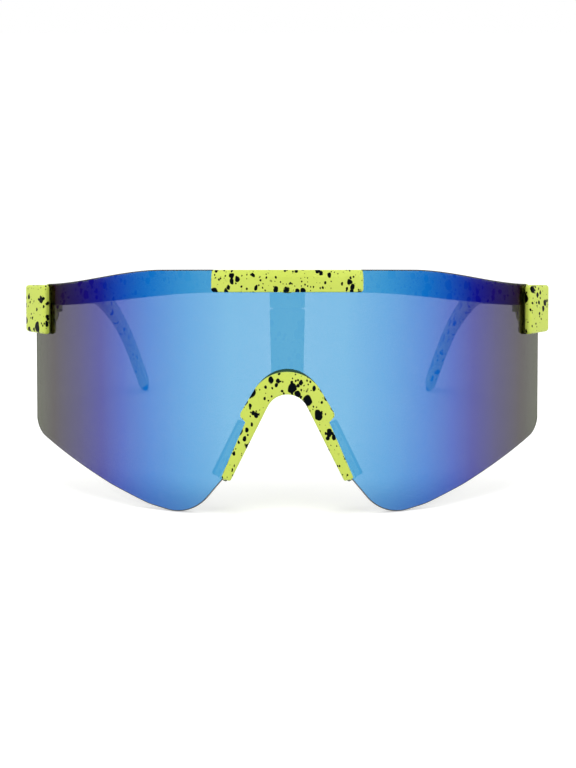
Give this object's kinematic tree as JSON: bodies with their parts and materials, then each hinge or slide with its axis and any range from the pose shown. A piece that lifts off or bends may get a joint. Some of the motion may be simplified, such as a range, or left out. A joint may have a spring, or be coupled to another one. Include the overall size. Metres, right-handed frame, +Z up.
{
  "type": "sports sunglasses",
  "caption": "Sports sunglasses with a wrapped mirror shield lens, a clip-on nose bridge with soft pads, and temples that fold, tilt and slide out",
  "frame": {"origin": "centre of the bounding box's bottom face, where the glasses stand on the lens's lower edge and the temple tips", "axes": "+X to the wearer's left, +Y back along the temples away from the lens, +Z up from the table"},
  "size_m": [0.1496, 0.1668, 0.066],
  "materials": {
    "neon_plastic": "satin neon yellow with black splatter",
    "mirror_lens": "blue mirror coating on smoke tint",
    "pad_silicone": "matte",
    "screw_steel": "turned"
  },
  "bodies": {
    "front": {"front_frame": "neon_plastic", "shield_lens": "mirror_lens", "nose_bridge": "neon_plastic", "nose_pad_left": "pad_silicone", "nose_pad_right": "pad_silicone"},
    "hinge_left": {"hinge_block_left": "neon_plastic", "fold_screw_left": "screw_steel", "tilt_screw_left": "screw_steel"},
    "hinge_right": {"hinge_block_right": "neon_plastic", "fold_screw_right": "screw_steel", "tilt_screw_right": "screw_steel"},
    "link_left": {"tilt_link_left": "neon_plastic", "slide_screw_left": "screw_steel"},
    "link_right": {"tilt_link_right": "neon_plastic", "slide_screw_right": "screw_steel"},
    "arm_left": {"temple_arm_left": "neon_plastic"},
    "arm_right": {"temple_arm_right": "neon_plastic"}
  },
  "joints": [
    {"name": "fold_left", "type": "hinge", "parent": "front", "child": "hinge_left", "pos_m": [0.0677, -0.03469, 0.05148], "axis": [0, 0.1501, 0.9887], "range_deg": [0, 83.5]},
    {"name": "fold_right", "type": "hinge", "parent": "front", "child": "hinge_right", "pos_m": [-0.0677, -0.03469, 0.05148], "axis": [0, -0.1501, -0.9887], "range_deg": [0, 76]},
    {"name": "tilt_left", "type": "hinge", "parent": "hinge_left", "child": "link_left", "pos_m": [0.07172, -0.02426, 0.04838], "axis": [0.9925, 0.1205, -0.0183], "range_deg": [-8, 8]},
    {"name": "tilt_right", "type": "hinge", "parent": "hinge_right", "child": "link_right", "pos_m": [-0.07172, -0.02426, 0.04838], "axis": [0.9925, -0.1205, 0.0183], "range_deg": [-8, 8]},
    {"name": "slide_left", "type": "slide", "parent": "link_left", "child": "arm_left", "axis": [-0.1219, 0.9813, -0.149], "range_m": [0, 0.01]},
    {"name": "slide_right", "type": "slide", "parent": "link_right", "child": "arm_right", "axis": [0.1219, 0.9813, -0.149], "range_m": [0, 0.01]}
  ]
}
